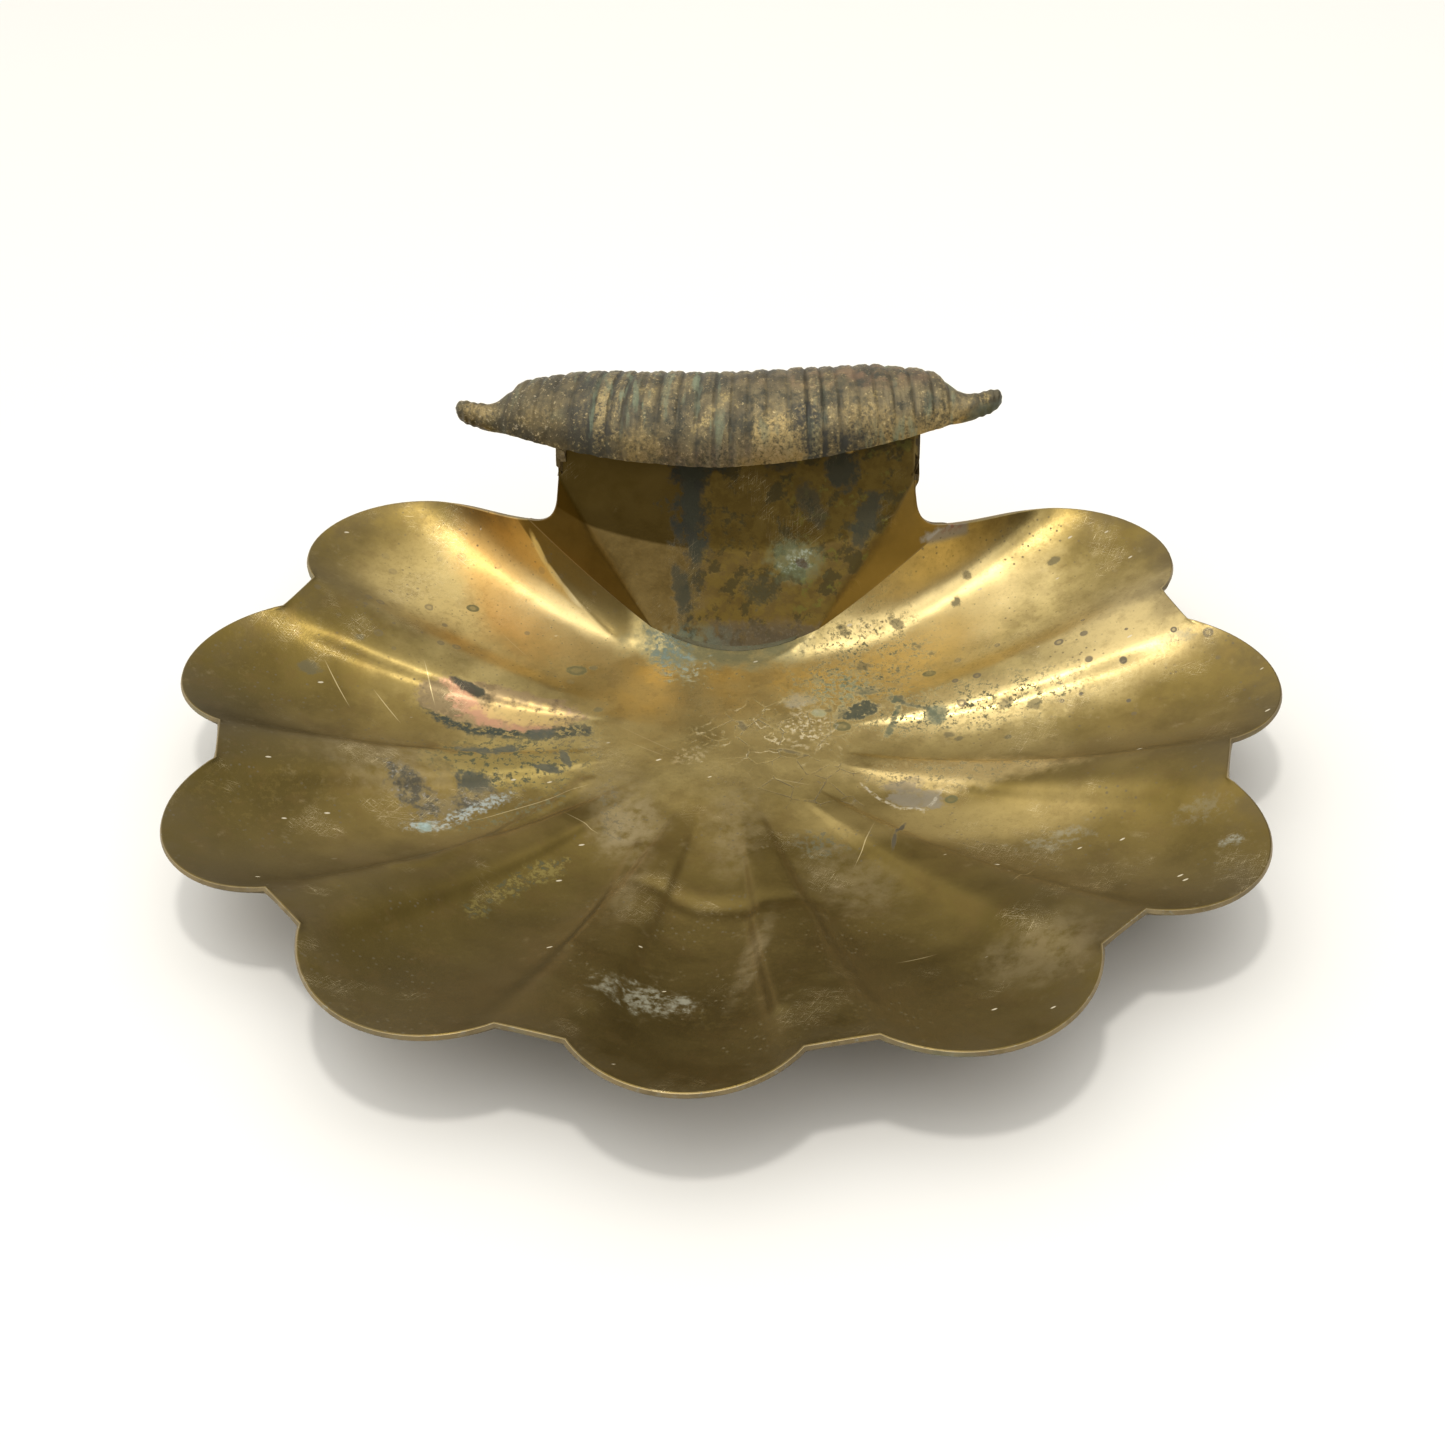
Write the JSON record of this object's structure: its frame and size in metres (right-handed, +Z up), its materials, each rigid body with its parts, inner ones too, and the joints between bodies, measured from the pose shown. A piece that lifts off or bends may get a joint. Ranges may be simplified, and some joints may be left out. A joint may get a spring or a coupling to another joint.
{
  "type": "shell dish",
  "caption": "Shallow scalloped brass dish with a leaning neck plate at the back that carries a ribbed cast crest.",
  "frame": {"origin": "centre of the flat resting face under the floor of the dish", "axes": "+Z up from the resting face, +Y from the front lobe towards the neck plate and crest, +X to the right seen from the front"},
  "size_m": [0.4466, 0.3696, 0.1194],
  "materials": {
    "brass_dish": "aged satin",
    "brass_neck": "aged satin, browner",
    "brass_cast": "sand-cast, dark patina",
    "brass_fastener": "aged, worn",
    "solder": "dull grey"
  },
  "bodies": {
    "root": {"dish": "brass_dish", "neck": "brass_neck", "crest": "brass_cast", "solder_left": "solder", "solder_right": "solder", "solder_foot": "solder", "rivets": "brass_fastener", "side_strap": "brass_neck", "strap_pin": "brass_fastener"}
  },
  "joints": []
}
